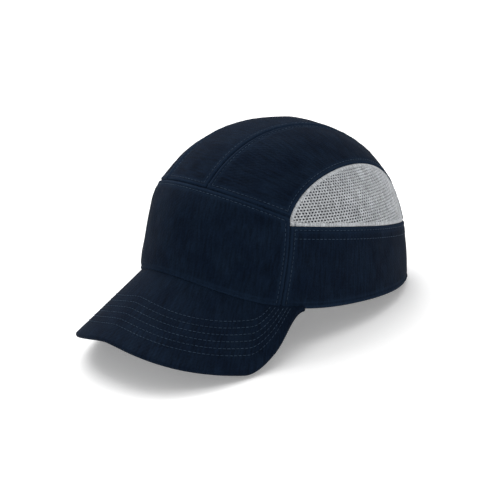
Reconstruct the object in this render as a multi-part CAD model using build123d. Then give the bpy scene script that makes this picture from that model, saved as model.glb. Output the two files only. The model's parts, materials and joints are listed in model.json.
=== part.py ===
from build123d import *
import os
from functools import cache
from math import acos, cos, pi, radians, sin, sqrt, tan

# Bump cap: a sewn cotton baseball cap over a lift-out hard shell.
# Everything is modelled in the rim's own frame, in millimetres: the flat part of the rim is the
# plane Z = 0, the front is -Y and the wearer's left is +X. The last section tips the whole cap
# back until it rests on the peak's two corners and the rear rim, as it lies on a table.

# ---------------------------------------------------------------- driving dimensions
# crown, outside
crown_length = 216.0
crown_width = 175.0
crown_height = 128.0
side_power = 1.93
top_power = 2.95
crown_lean = -0.025
rim_arch = 24.0
rim_arch_power = 2.8

# peak
peak_overhang = 54.0
peak_side_overhang = 6.5
peak_end_y = -43.0
peak_end_width = 4.0
peak_front_drop = 43.0
peak_corner_drop = 19.5
peak_corner_power = 1.43
peak_plan_power = 2.55
peak_blend = 0.5
peak_end_blend = 0.3
peak_board_thickness = 2.4
peak_cloth_thickness = 1.0
peak_edge_turn = 2.0
peak_fit = 0.15  # gap between the board and its cloths

# cloth panels
cloth = 1.2
tape_thickness = 0.6
tape_width = 14.0
strip_tape_end_y = 86.0
front_corner_y = -46.4
front_corner_z = 68.3
front_top_slope = 26.0
front_side_slope = 10.4
strip_front_width = 50.0
strip_middle_width = 44.0
strip_rear_width = 54.0
band_front_height = 62.5
band_middle_height = 55.0
band_rear_height = 41.0
vent_length = 137.0
vent_rise = 43.0
vent_middle_y = 19.0
facing_thickness = 0.8
facing_height = 13.0

# rear opening and its strap
opening_width = 80.0
opening_height = 36.0
binding_thickness = 0.5
binding_cover = 4.5
strap_width = 18.0
strap_thickness = 1.3
strap_lift = 0.8
strap_sewn_length = 20.0
strap_overlap = 27.0
patch_thickness = 0.6
patch_margin = 1.5
patch_gap = 0.3
hook_root_inset = 6.6  # from the opening's edge to the free tab's root
hook_root_gap = 0.8
label_width = 34.0
label_height = 22.0
label_thickness = 0.3
label_angle = 132.0

# hard shell
shell_gap = 1.1  # between the strap's tabs and the shell
shell_thickness = 2.2
shell_rim_height = 11.0
shell_rear_width = 112.0
shell_rear_height = 52.0
shell_rib_width = 6.0
shell_rib_height = 0.8
shell_rib_spacing = 34.0
shell_rib_bottom = 78.0
side_slot_width = 24.0
side_slot_rib = 6.0
side_slot_margin = 7.0
top_slot_width = 8.0
top_slot_length = 34.0
top_slot_offset = 17.0
top_slot_spacing = 51.0

# pads and brow band
pad_gap = 0.3
pad_thickness = 5.5
pad_corner = 8.0
pad_spacing = 3.0
crown_pad_length = 104.0
crown_pad_width = 84.0
crown_pad_slot_width = 10.0
crown_pad_slot_length = 46.0
front_pad_width = 90.0
front_pad_height = 30.0
front_pad_lift = 6.0
rear_pad_width = 84.0
rear_pad_height = 32.0
rear_pad_lift = 8.0
side_pad_length = 62.0
side_pad_height = 17.0
side_pad_middle_y = 26.0
band_gap = 0.3
band_skin = 0.8
band_core_thickness = 2.4
band_height = 26.0
band_lift = 3.0
band_gap_width = 84.0
stud_head_radius = 4.5
stud_head_thickness = 0.9
stud_shank_radius = 1.8
stud_angles = (-90, -40, -140, 12, 168, 48, 132)

# ---------------------------------------------------------------- derived sizes
half_length = crown_length / 2
half_width = crown_width / 2
tape_depth = cloth + tape_thickness
facing_depth = cloth + facing_thickness
binding_depth = cloth + binding_thickness
tab_inner = binding_depth + strap_thickness
shell_outer = tab_inner + shell_gap
shell_inner = shell_outer + shell_thickness
pad_outer = shell_inner + pad_gap
pad_inner = pad_outer + pad_thickness
band_outer = shell_inner + band_gap
core_outer = band_outer + band_skin
core_inner = core_outer + band_core_thickness
band_inner = core_inner + band_skin
band_middle = (band_outer + band_inner) / 2
band_bottom = shell_rim_height + band_lift
band_top = band_bottom + band_height
side_pad_bottom = band_top + pad_spacing
front_pad_bottom = band_top + rim_arch + front_pad_lift
rear_pad_bottom = shell_rear_height + rear_pad_lift
loop_patch_outer = binding_depth - patch_thickness
hook_patch_inner = loop_patch_outer - patch_gap
hook_tab_inner = hook_patch_inner - patch_thickness
hook_tab_outer = hook_tab_inner - strap_thickness
reach = 2 * crown_length  # longer than anything it cuts
past_seam = 1.0
past_rear = 4.0
past_end = 10.0
rim_line_reach = 1.3 * half_length
rim_line_steps = 7
skirt = 40.0
skirt_top = 3.0
facets_round = 44
facets_up = 13
peak_facets = 44
peak_start = 0.012  # share of the way out from the rim where the peak's cloth starts


# ---------------------------------------------------------------- crown surfaces
def rim_height(y):
    """Height of the rim line above its flat part, at a place along the cap."""
    forward = max(0.0, -y / half_length)
    return rim_arch * forward**rim_arch_power


def polyhedron(corners):
    """A closed solid from flat faces, each given as its list of corners."""
    return Solid(Shell([Face(Wire.make_polygon(points, close=True)) for points in corners]))


def crown_ring(inset, turn):
    """One level of the crown's faceted surface: its corners at a share of the way up."""
    side, depth, height = half_width - inset, half_length - inset, crown_height - inset
    z = height * sin(turn) ** (2 / top_power) if turn > 0 else -skirt_top
    reach_out = cos(turn) ** (2 / side_power)
    lean = crown_lean * z
    ring = []
    for i in range(facets_round):
        angle = (i + 0.5) / facets_round * 2 * pi
        ring.append((side * reach_out * cos(angle), depth * reach_out * sin(angle) + lean, z))
    return ring


@cache
def dome(inset):
    """The solid inside the crown's outer surface, moved inwards by inset."""
    height = crown_height - inset
    rings = [crown_ring(inset, i / facets_up * pi / 2) for i in range(facets_up)]
    rings.insert(0, [(x, y + crown_lean * (skirt_top - skirt), -skirt) for x, y, z in rings[0]])
    top = (0, crown_lean * height, height)
    corners = [rings[0]]
    for low, high in zip(rings, rings[1:]):
        for i in range(facets_round):
            j = (i + 1) % facets_round
            corners.append([low[i], low[j], high[j], high[i]])
    last = rings[-1]
    for i in range(facets_round):
        corners.append([last[i], last[(i + 1) % facets_round], top])
    return polyhedron(corners)


def layer(outer, inner):
    """The skin between two insets of the crown."""
    return dome(outer) - dome(inner)


def side_prism(edges):
    """A side outline (Y, Z), run right through the cap along X."""
    return extrude(Plane.YZ * make_face(edges), amount=reach, both=True)


def side_polygon(points):
    return extrude(Plane.YZ * make_face(Polyline(*points, close=True)), amount=reach, both=True)


def block(x_range, y_range, z_range):
    size = [high - low for low, high in (x_range, y_range, z_range)]
    middle = [(high + low) / 2 for low, high in (x_range, y_range, z_range)]
    return Pos(*middle) * Box(*size)


def above_rim(lift, top=None):
    """Everything above the rim line raised by lift, up to the line raised by top."""
    front = -rim_line_reach
    stations = [front * (1 - i / rim_line_steps) for i in range(rim_line_steps + 1)]
    points = [(y, rim_height(y)) for y in stations]
    edges = [
        Spline(*points, tangents=[(1, -rim_slope(front)), (1, 0)]),
        Line((0, 0), (reach, 0)),
        Line((reach, 0), (reach, reach)),
        Line((reach, reach), (front, reach)),
        Line((front, reach), points[0]),
    ]
    above = Pos(0, 0, lift) * side_prism(edges)
    return above if top is None else above - Pos(0, 0, top - lift) * above


def rim_slope(y):
    """How steeply the rim line falls towards the back, at a place in front."""
    forward = -y / half_length
    return rim_arch * rim_arch_power * forward ** (rim_arch_power - 1) / half_length


# ---------------------------------------------------------------- seam outlines
def front_side_y(z):
    """Where the seam between the front panel and the side band is, at a height."""
    return front_corner_y + (z - front_corner_z) * tan(radians(front_side_slope))


def front_top_z(y):
    """Height of the seam along the top of the front panel."""
    return front_corner_z + (front_corner_y - y) * tan(radians(front_top_slope))


def front_region():
    corner = (front_corner_y, front_corner_z)
    low = (front_side_y(-skirt), -skirt)
    return side_polygon([corner, low, (-reach, -skirt), (-reach, front_top_z(-reach))])


def band_region():
    start = (front_side_y(band_front_height) - past_seam, band_front_height)
    end = (half_length + past_rear, band_rear_height)
    forward = front_side_y(-skirt)
    edges = [
        ThreePointArc(start, (vent_middle_y, band_middle_height), end),
        Line(end, (reach, band_rear_height)),
        Line((reach, band_rear_height), (reach, -skirt)),
        Line((reach, -skirt), (forward, -skirt)),
        Line((forward, -skirt), (forward, band_front_height)),
        Line((forward, band_front_height), start),
    ]
    return side_prism(edges)


def vent_region(margin):
    """The half-oval side vent, drawn in by margin."""
    oval = Ellipse(vent_length / 2 - margin, vent_rise - margin)
    return extrude(Plane.YZ * Pos(vent_middle_y, band_middle_height) * oval, amount=reach, both=True)


def strip_region():
    """The band over the middle of the crown, a little narrower on top."""
    front, middle, rear = strip_front_width / 2, strip_middle_width / 2, strip_rear_width / 2
    end = half_length + past_end
    left = ThreePointArc((front, -end), (middle, 0), (rear, end))
    right = ThreePointArc((-rear, end), (-middle, 0), (-front, -end))
    edges = [left, Line((rear, end), (-rear, end)), right, Line((-front, -end), (front, -end))]
    return Pos(0, 0, -skirt) * extrude(make_face(edges), amount=reach)


def rear_arch(width, height):
    """A half-moon through the rear wall, open at the rim."""
    oval = Ellipse(width / 2, height)
    return extrude(Plane.XZ * oval, amount=-reach)


def by_side(solids, left):
    picked = [s for s in solids.solids() if (s.center().X > 0) == left]
    return Compound(picked) if len(picked) > 1 else picked[0]


# ---------------------------------------------------------------- cloth cover
def crown_cloth():
    """Cuts one skin into the cover's panels, so that neighbours meet face to face."""
    skin = layer(0, cloth) & above_rim(0)
    front = front_region()
    band_area = band_region()
    opening = rear_arch(opening_width, opening_height)
    rest = skin - front
    band = (rest & band_area) - opening
    upper = rest - band_area
    vents = vent_region(0)
    mesh = upper & vents
    upper = upper - vents
    strip = upper & strip_region()
    sides = upper - strip_region()
    left_half = block((0, reach), (-reach, reach), (-reach, reach))
    return {
        "front_panel": skin & front,
        "crown_strip": strip,
        "crown_panel_left": by_side(sides, True),
        "crown_panel_right": by_side(sides, False),
        "vent_mesh_left": by_side(mesh, True),
        "vent_mesh_right": by_side(mesh, False),
        "rear_band_left": band & left_half,
        "rear_band_right": band - left_half,
    }


def seam_tapes():
    """Tapes inside the crown: along both sides of the strip and round each vent."""
    skin = layer(cloth, tape_depth)
    half = tape_width / 2
    inside = strip_region()
    wide = [Pos(side * half, 0, 0) * inside for side in (1, -1)]
    narrow = [Pos(side * -half, 0, 0) * inside for side in (1, -1)]
    top = skin - front_region() - band_region()
    crown = top & block((-reach, reach), (-reach, strip_tape_end_y), (band_front_height, reach))
    crown = (crown & (wide[0] + wide[1])) - (narrow[0] & narrow[1])
    ring = vent_region(-half) - vent_region(half)
    vents = (top & ring) - block((-strip_rear_width / 2, strip_rear_width / 2), (-reach, reach), (0, reach))
    crown = crown - vent_region(-half)
    return {
        "strip_seam_tapes": crown,
        "vent_tape_left": by_side(vents, True),
        "vent_tape_right": by_side(vents, False),
    }


def rim_facing():
    """The turned-in tape round the inside of the rim, left out across the rear opening."""
    ring = layer(cloth, facing_depth) & above_rim(0, facing_height)
    clear = opening_width / 2 + strap_sewn_length + patch_gap
    return ring - block((-clear, clear), (0, reach), (-reach, reach))


def opening_binding(cover):
    """Tape folded over the edge of the half-moon opening."""
    fold = 2 * binding_thickness
    outer = rear_arch(opening_width + 2 * binding_cover, opening_height + binding_cover)
    inner = rear_arch(opening_width - fold, opening_height - binding_thickness)
    tape = (layer(-binding_thickness, binding_depth) & above_rim(0)) & (outer - inner)
    return tape - cover["rear_band_left"] - cover["rear_band_right"]


# ---------------------------------------------------------------- rear strap
def strap_piece(outer, inner, x_from, x_to, low, high):
    rear = block((x_from, x_to), (0, reach), (low, high))
    return layer(outer, inner) & rear


def strap():
    """Two webbing tabs with touch-and-close faces: the left one stays, the right one peels."""
    low, high = strap_lift, strap_lift + strap_width
    edge = opening_width / 2
    sewn = edge + strap_sewn_length
    half = strap_overlap / 2
    free = edge - hook_root_inset
    inner_low, inner_high = low + patch_margin, high - patch_margin
    return {
        "loop_tab": strap_piece(binding_depth, tab_inner, -half, sewn, low, high),
        "loop_patch": strap_piece(loop_patch_outer, binding_depth, -half, free, inner_low, inner_high),
        "hook_tab_anchor": strap_piece(binding_depth, tab_inner, -sewn, -free - hook_root_gap, low, high),
        "hook_tab": strap_piece(hook_tab_outer, hook_tab_inner, -free, half, low, high),
        "hook_patch": strap_piece(
            hook_tab_inner, hook_patch_inner, -half + patch_margin, half - patch_margin, inner_low, inner_high
        ),
    }


def wall_plane(angle, z):
    """A plane touching the crown's wall at an angle round the rim, with its X axis upwards."""
    x, y = half_width * cos(radians(angle)), half_length * sin(radians(angle))
    outward = Vector(x / half_width**2, y / half_length**2, 0).normalized()
    return Plane(origin=(x, y, z), x_dir=(0, 0, 1), z_dir=outward)


def care_label():
    """A blank sewn-in label behind the rear band, above the sewn end of the strap."""
    middle = facing_height + (strap_width + label_height) / 2
    outline = wall_plane(label_angle, middle) * Rectangle(label_height, label_width)
    return layer(cloth, cloth + label_thickness) & extrude(outline, amount=label_width, both=True)


# ---------------------------------------------------------------- peak
def peak_root(turn):
    """A point on the crown's rim line where the peak starts, from one end to the other."""
    end = acos(-peak_end_y / half_length)
    angle = -pi / 2 + turn / (pi / 2) * end
    x, y = half_width * cos(angle), half_length * sin(angle)
    return x, y, rim_height(y)


def smooth(share):
    share = min(1.0, max(0.0, share))
    return share * share * (3 - 2 * share)


def peak_edge(turn):
    """A point on the peak's outer edge."""
    side = half_width + peak_side_overhang
    depth = half_length + peak_overhang + peak_end_y
    swing = abs(sin(turn)) ** (2 / peak_plan_power)
    forward = max(0.0, cos(turn)) ** (2 / peak_plan_power)
    end_x = half_width * sqrt(1 - (peak_end_y / half_length) ** 2) + peak_end_width
    pulled = end_x + (side - end_x) * smooth(forward / peak_end_blend)
    x = pulled * swing * (1 if turn >= 0 else -1)
    y = peak_end_y - depth * forward
    front_z = rim_arch - peak_front_drop
    falling = front_z - peak_corner_drop * (abs(x) / side) ** peak_corner_power
    weight = smooth(forward / peak_blend)
    z = rim_height(peak_end_y) * (1 - weight) + falling * weight
    return x, y, z


def peak_point(turn, start, inset, rise):
    """A point on the line from the rim to the edge, raised square to the peak's surface.

    It is start of the way out from the rim, or inset in from the edge where start is None.
    """
    root, edge = Vector(*peak_root(turn)), Vector(*peak_edge(turn))
    step = 0.02
    before = Vector(*peak_edge(max(turn - step, -pi / 2)))
    after = Vector(*peak_edge(min(turn + step, pi / 2)))
    square = (edge - root).cross(before - after).normalized()
    if square.Z < 0:
        square = square * -1
    share = 1 - inset / (edge - root).length if start is None else start
    return root + (edge - root) * share + square * rise


def peak_slab(inset, low, high, start=None):
    """The peak between two heights above its middle surface, from the crown's rim to its edge."""
    start = peak_start if start is None else start
    rings = []
    for i in range(peak_facets + 1):
        across = 2 * i / peak_facets - 1
        turn = (1.5 * across - 0.5 * across**3) * pi / 2
        corners = [(start, low), (None, low), (None, high), (start, high)]
        rings.append([peak_point(turn, place, inset, rise) for place, rise in corners])
    faces = [rings[0], rings[-1][::-1]]
    for one, two in zip(rings, rings[1:]):
        faces += [[one[0], two[0], two[1]], [one[0], two[1], one[1]]]
        faces += [[one[1], two[1], two[2]], [one[1], two[2], one[2]]]
        faces += [[one[2], two[2], one[3]], [two[2], two[3], one[3]]]
        faces += [[one[3], two[3], two[0]], [one[3], two[0], one[0]]]
    return polyhedron(faces)


def peak():
    """Stiff board between a top cloth, which turns down over its edge, and a bottom cloth."""
    half = peak_board_thickness / 2
    outer = half + peak_cloth_thickness
    turned = peak_slab(peak_cloth_thickness, -2 * outer, half, -peak_start)
    return {
        "peak_board": peak_slab(peak_edge_turn, -half + peak_fit, half - peak_fit),
        "peak_top_cloth": peak_slab(0, -half, outer) - turned,
        "peak_bottom_cloth": peak_slab(0, -outer, -half - peak_fit),
    }


# ---------------------------------------------------------------- hard shell
def side_slots():
    """Vent slots in the shell's sides, in line with the mesh vents."""
    area = vent_region(side_slot_margin)
    floor = band_front_height + side_slot_margin / 2
    pitch = side_slot_width + side_slot_rib
    slots = []
    for number in (-2, -1, 0, 1):
        start = vent_middle_y + number * pitch + side_slot_rib / 2
        slots.append(area & block((-reach, reach), (start, start + side_slot_width), (floor, reach)))
    return slots


def top_slots():
    """Pairs of vent slots over the top of the shell."""
    slots = []
    bar = SlotCenterToCenter(top_slot_length - top_slot_width, top_slot_width)
    for side in (-1, 1):
        for y in (-top_slot_spacing / 2, top_slot_spacing / 2):
            place = Pos(side * top_slot_offset, y, 0) * Rot(0, 0, 90)
            slots.append(place * extrude(bar, amount=reach))
    return slots


def hard_shell():
    shell = layer(shell_outer, shell_inner) & above_rim(shell_rim_height)
    ribs = layer(shell_outer - shell_rib_height, shell_outer)
    for number in (-1, 0, 1):
        middle = number * shell_rib_spacing
        bar = block(
            (middle - shell_rib_width / 2, middle + shell_rib_width / 2),
            (-reach, reach),
            (shell_rib_bottom, reach),
        )
        shell = shell + (ribs & bar)
    shell = shell - rear_arch(shell_rear_width, shell_rear_height)
    for slot in side_slots() + top_slots():
        shell = shell - slot
    return shell


# ---------------------------------------------------------------- pads and brow band
def crown_column(margin):
    """An upright oval column round the top pad's outline, wider by margin."""
    return extrude(Ellipse(crown_pad_width / 2 + margin, crown_pad_length / 2 + margin), amount=reach)


def wall_pad(width, bottom, height, facing):
    """A pad on the front (facing -1) or rear (facing 1) wall, kept clear of the top pad."""
    outline = Pos(0, bottom + height / 2) * RectangleRounded(width, height, pad_corner)
    column = extrude(Plane.XZ * outline, amount=-facing * reach)
    return (layer(pad_outer, pad_inner) & column) - crown_column(pad_spacing)


def side_pads():
    outline = Pos(side_pad_middle_y, side_pad_bottom + side_pad_height / 2)
    outline = outline * RectangleRounded(side_pad_length, side_pad_height, pad_corner)
    return layer(pad_outer, pad_inner) & extrude(Plane.YZ * outline, amount=reach, both=True)


def crown_pad():
    """The top pad: an oval with a long slot each side of its middle."""
    pad = layer(pad_outer, pad_inner) & crown_column(0)
    bar = SlotCenterToCenter(crown_pad_slot_length, crown_pad_slot_width)
    for side in (-1, 1):
        place = Pos(side * top_slot_offset, 0, 0) * Rot(0, 0, 90)
        pad = pad - place * extrude(bar, amount=reach)
    return pad


def brow_band():
    """A foam strip in a soft sleeve inside the shell's lower edge, open across the rear."""
    gap = block((-band_gap_width / 2, band_gap_width / 2), (0, reach), (-reach, reach))
    sleeve = (layer(band_outer, band_inner) & above_rim(band_bottom, band_top)) - gap
    core_zone = above_rim(band_bottom + band_skin, band_top - band_skin)
    core = (layer(core_outer, core_inner) & core_zone) - gap
    return {"brow_band_sleeve": sleeve - core, "brow_band_core": core}


def stud_places():
    """Angles round the rim, and heights, of the studs that hold the brow band to the shell."""
    places = []
    for angle in stud_angles:
        y = (half_length - band_middle) * sin(radians(angle))
        places.append((angle, rim_height(y) + band_bottom + band_height / 2))
    return places


def stud_cylinder(angle, z, radius):
    """A rod through the wall, square to it, at an angle round the rim."""
    return extrude(wall_plane(angle, z) * Circle(radius), amount=4 * shell_inner, both=True)


def band_studs():
    """Flat-headed studs: head outside the shell, shank through shell and band, button inside."""
    head_skin = layer(shell_outer - stud_head_thickness, shell_outer)
    shank_skin = layer(shell_outer, band_inner)
    button_skin = layer(band_inner, band_inner + stud_head_thickness)
    studs = []
    for angle, z in stud_places():
        wide = stud_cylinder(angle, z, stud_head_radius)
        thin = stud_cylinder(angle, z, stud_shank_radius)
        stud = (head_skin & wide) + (shank_skin & thin) + (button_skin & wide)
        studs.append(stud)
    return studs


# ---------------------------------------------------------------- whole cap
def assemble():
    pieces = crown_cloth()
    pieces["rear_opening_binding"] = opening_binding(pieces)
    pieces.update(seam_tapes())
    pieces["rim_facing"] = rim_facing()
    pieces.update(strap())
    pieces["care_label"] = care_label()
    pieces.update(peak())
    pieces["hard_shell"] = hard_shell()
    pieces["crown_pad"] = crown_pad()
    pieces["front_pad"] = wall_pad(front_pad_width, front_pad_bottom, front_pad_height, -1)
    pieces["rear_pad"] = wall_pad(rear_pad_width, rear_pad_bottom, rear_pad_height, 1)
    sides = side_pads()
    pieces["side_pad_left"] = by_side(sides, True)
    pieces["side_pad_right"] = by_side(sides, False)
    pieces.update(brow_band())
    studs = band_studs()
    for stud_place in stud_places():
        hole = stud_cylinder(*stud_place, stud_shank_radius)
        for name in ("hard_shell", "brow_band_sleeve", "brow_band_core"):
            pieces[name] = pieces[name] - hole
    pieces["band_studs"] = Compound([s.solid() for s in studs])
    return pieces


def lowest(shape, tip):
    return (Rot(tip, 0, 0) * shape).bounding_box().min.Z


def resting_tip(peak_cloth, rear_band):
    """The angle that puts the peak's corners and the rear rim on one level, by halving."""
    flat, steep = 0.0, 25.0
    for _ in range(18):
        tip = (flat + steep) / 2
        if lowest(peak_cloth, -tip) < lowest(rear_band, -tip):
            flat = tip
        else:
            steep = tip
    return -(flat + steep) / 2


def main():
    pieces = assemble()
    tip = resting_tip(pieces["peak_bottom_cloth"], pieces["rear_band_left"])
    tipped = {name: Rot(tip, 0, 0) * shape for name, shape in pieces.items()}
    box = Compound([s for shape in tipped.values() for s in shape.solids()]).bounding_box()
    middle = box.center()
    place = Pos(-middle.X, -middle.Y, -box.min.Z)
    os.makedirs("parts", exist_ok=True)
    for name, shape in tipped.items():
        solids = (place * shape).solids()
        export_step(Compound(solids) if len(solids) > 1 else solids[0], f"parts/{name}.step")
    print("tip", round(tip, 3), "size", box.size, "shift", -middle.X, -middle.Y, -box.min.Z)


main()
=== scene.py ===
import json
from math import asin, atan2, ceil, cos, pi, radians, sin, sqrt, tan

import bmesh
import bpy
import numpy as np
from mathutils import Matrix, Vector, kdtree, noise


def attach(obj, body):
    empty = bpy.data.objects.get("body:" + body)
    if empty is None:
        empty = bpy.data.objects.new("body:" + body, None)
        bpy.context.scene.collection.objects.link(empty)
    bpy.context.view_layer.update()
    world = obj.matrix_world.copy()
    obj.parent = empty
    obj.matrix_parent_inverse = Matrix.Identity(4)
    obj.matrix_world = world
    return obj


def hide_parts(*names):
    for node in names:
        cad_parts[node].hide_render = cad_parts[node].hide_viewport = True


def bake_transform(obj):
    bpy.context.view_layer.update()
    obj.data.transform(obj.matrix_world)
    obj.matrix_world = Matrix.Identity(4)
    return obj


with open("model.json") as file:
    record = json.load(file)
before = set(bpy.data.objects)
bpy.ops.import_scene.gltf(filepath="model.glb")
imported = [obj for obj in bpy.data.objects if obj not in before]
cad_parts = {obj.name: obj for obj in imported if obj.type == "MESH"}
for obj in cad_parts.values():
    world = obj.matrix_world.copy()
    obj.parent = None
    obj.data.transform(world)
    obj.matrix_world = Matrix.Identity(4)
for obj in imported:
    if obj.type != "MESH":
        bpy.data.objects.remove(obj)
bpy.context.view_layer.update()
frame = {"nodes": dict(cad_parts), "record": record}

# The cap's own frame: millimetres, rim plane at Z = 0, front at -Y, the wearer's left at +X.
HALF_LENGTH = 108.0
HALF_WIDTH = 87.5
HEIGHT = 128.0
SIDE_POWER = 1.93
TOP_POWER = 2.95
LEAN = -0.025
RIM_ARCH = 24.0
RIM_ARCH_POWER = 2.8
CORNER_Y, CORNER_Z = -46.4, 68.3
TOP_SLOPE = tan(radians(26.0))
SIDE_SLOPE = tan(radians(10.4))
STRIP_HALVES = (25.0, 22.0, 27.0)
BAND_FRONT, BAND_MIDDLE, BAND_REAR = 62.5, 55.0, 41.0
VENT_LENGTH, VENT_RISE, VENT_Y = 137.0, 43.0, 19.0
OPENING_HALF, OPENING_HEIGHT = 40.0, 36.0
PEAK_OVERHANG, PEAK_HALF = 54.0, 94.0
PEAK_END_Y, PEAK_END_WIDTH = -43.0, 4.0
PEAK_DROP, PEAK_CORNER_DROP = 43.0, 19.5
PEAK_CORNER_POWER, PEAK_PLAN_POWER, PEAK_BLEND = 1.43, 2.55, 0.5
PEAK_HALF_THICKNESS = 2.2
CLOTH = 1.2
STEP = 1.7

# ------------------------------------------------------------------ from the cap's frame to the scene
record = frame["record"]
joint_list = {j["name"]: j for j in record["behaviour"]["joints"]}
mount_list = {m["name"]: m for m in record["mounts"]}
rim_normal = joint_list["strap_peel"]["axis"]
TIP = atan2(rim_normal[1], rim_normal[2])
MOUNT_HEIGHT = 12.0
tip_cos, tip_sin = cos(TIP), sin(TIP)
TURN = np.array([[1, 0, 0], [0, tip_cos, tip_sin], [0, -tip_sin, tip_cos]])
SHIFT = np.array(mount_list["head_opening"]["pos_m"]) - TURN @ np.array([0, 0, MOUNT_HEIGHT]) / 1000


def to_scene(points):
    """Millimetres in the cap's frame to metres in the scene."""
    return np.asarray(points) @ TURN.T / 1000 + SHIFT


def to_cap(points):
    return (np.asarray(points) - SHIFT) @ TURN * 1000


def normalized(vectors):
    return vectors / np.linalg.norm(vectors, axis=-1, keepdims=True)


def hump(distance, place, width):
    """1 at a place, falling smoothly to 0 a few widths either side."""
    return np.exp(-(((distance - place) / width) ** 2))


# ------------------------------------------------------------------ crown surface
PROBE = 0.05


def level(z, inset=0.0):
    share = np.clip(np.asarray(z, float) / (HEIGHT - inset), 0, 1)
    return (1 - share**TOP_POWER) ** (1 / SIDE_POWER)


def crown_value(p, inset=0.0):
    """Below 0 inside the crown moved in by inset, 0 on it, above 0 outside."""
    x = p[..., 0] / (HALF_WIDTH - inset)
    y = (p[..., 1] - LEAN * p[..., 2]) / (HALF_LENGTH - inset)
    z = np.clip(p[..., 2], 0, None) / (HEIGHT - inset)
    return np.hypot(x, y) ** SIDE_POWER + z**TOP_POWER - 1


def crown_normal(p):
    grad = [crown_value(p + PROBE * axis) - crown_value(p - PROBE * axis) for axis in np.eye(3)]
    return normalized(np.stack(grad, -1))


def to_crown(p, inset=0.0):
    """Moves points along the crown's normal onto its surface moved in by inset."""
    p = np.array(p, float)
    for _ in range(6):
        n = crown_normal(p)
        here = crown_value(p, inset)
        slope = (crown_value(p + PROBE * n, inset) - crown_value(p - PROBE * n, inset)) / (2 * PROBE)
        p = p - n * np.clip(here / slope, -8, 8)[..., None]
    return p


def rim_height(y):
    return RIM_ARCH * np.clip(-np.asarray(y, float) / HALF_LENGTH, 0, None) ** RIM_ARCH_POWER


def front_side_y(z):
    return CORNER_Y + (z - CORNER_Z) * SIDE_SLOPE


def front_top_z(y):
    return CORNER_Z + (CORNER_Y - y) * TOP_SLOPE


def circle_through(a, b, c):
    """Centre and radius of the circle through three points of a side view."""
    m = np.array([[b[0] - a[0], b[1] - a[1]], [c[0] - a[0], c[1] - a[1]]])
    k = [(b[0]**2 - a[0]**2 + b[1]**2 - a[1]**2) / 2, (c[0]**2 - a[0]**2 + c[1]**2 - a[1]**2) / 2]
    centre = np.linalg.solve(m, k)
    return centre, np.hypot(*(np.array(a) - centre))


band_centre, band_radius = circle_through(
    (front_side_y(BAND_FRONT) - 1, BAND_FRONT), (VENT_Y, BAND_MIDDLE), (HALF_LENGTH + 4, BAND_REAR))


def band_top_z(y):
    return band_centre[1] + np.sqrt(band_radius**2 - (np.asarray(y, float) - band_centre[0]) ** 2)


def strip_half(y):
    end = HALF_LENGTH + 10
    centre, radius = circle_through((-end, STRIP_HALVES[0]), (0, STRIP_HALVES[1]), (end, STRIP_HALVES[2]))
    return centre[1] - np.sqrt(radius**2 - (np.asarray(y, float) - centre[0]) ** 2)


# ------------------------------------------------------------------ lines on the crown
def at_angle(angles, height_of_y):
    """Points round the crown where its height follows a side-view line."""
    low, high = np.full(len(angles), -4.0), np.full(len(angles), HEIGHT - 0.01)
    for _ in range(40):
        z = (low + high) / 2
        y = HALF_LENGTH * level(z) * np.sin(angles) + LEAN * z
        above = z > height_of_y(y)
        high, low = np.where(above, z, high), np.where(above, low, z)
    r = level(z)
    return np.stack([HALF_WIDTH * r * np.cos(angles), HALF_LENGTH * r * np.sin(angles) + LEAN * z, z], -1)


def side_points(y, z):
    y, z = np.asarray(y, float), np.asarray(z, float)
    across = np.sqrt(np.clip(level(z) ** 2 - ((y - LEAN * z) / HALF_LENGTH) ** 2, 0, None))
    return np.stack([HALF_WIDTH * across, y, z], -1)


def plan_points(x, y):
    z = np.full(np.shape(y), 100.0)
    for _ in range(30):
        r = np.hypot(x / HALF_WIDTH, (y - LEAN * z) / HALF_LENGTH)
        z = HEIGHT * np.clip(1 - r**SIDE_POWER, 0, None) ** (1 / TOP_POWER)
    return np.stack([x, y, z], -1)


def angle_of(point):
    return atan2((point[1] - LEAN * point[2]) / HALF_LENGTH, point[0] / HALF_WIDTH)


def line_length(points):
    return np.linalg.norm(np.diff(points, axis=0), axis=1).sum()


def run_along(points):
    """The distance along a line at each of its points."""
    return np.r_[0, np.cumsum(np.linalg.norm(np.diff(points, axis=0), axis=1))]


def resample(points, shares, values=None):
    """Points at shares of a line's length, or the values given at its points."""
    values = points if values is None else values
    run = run_along(points)
    run = run / run[-1] if run[-1] > 0 else np.linspace(0, 1, len(points))
    return np.stack([np.interp(shares, run, values[:, i]) for i in range(3)], -1)


def mirrored(points):
    return np.asarray(points) * [-1, 1, 1]


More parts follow.
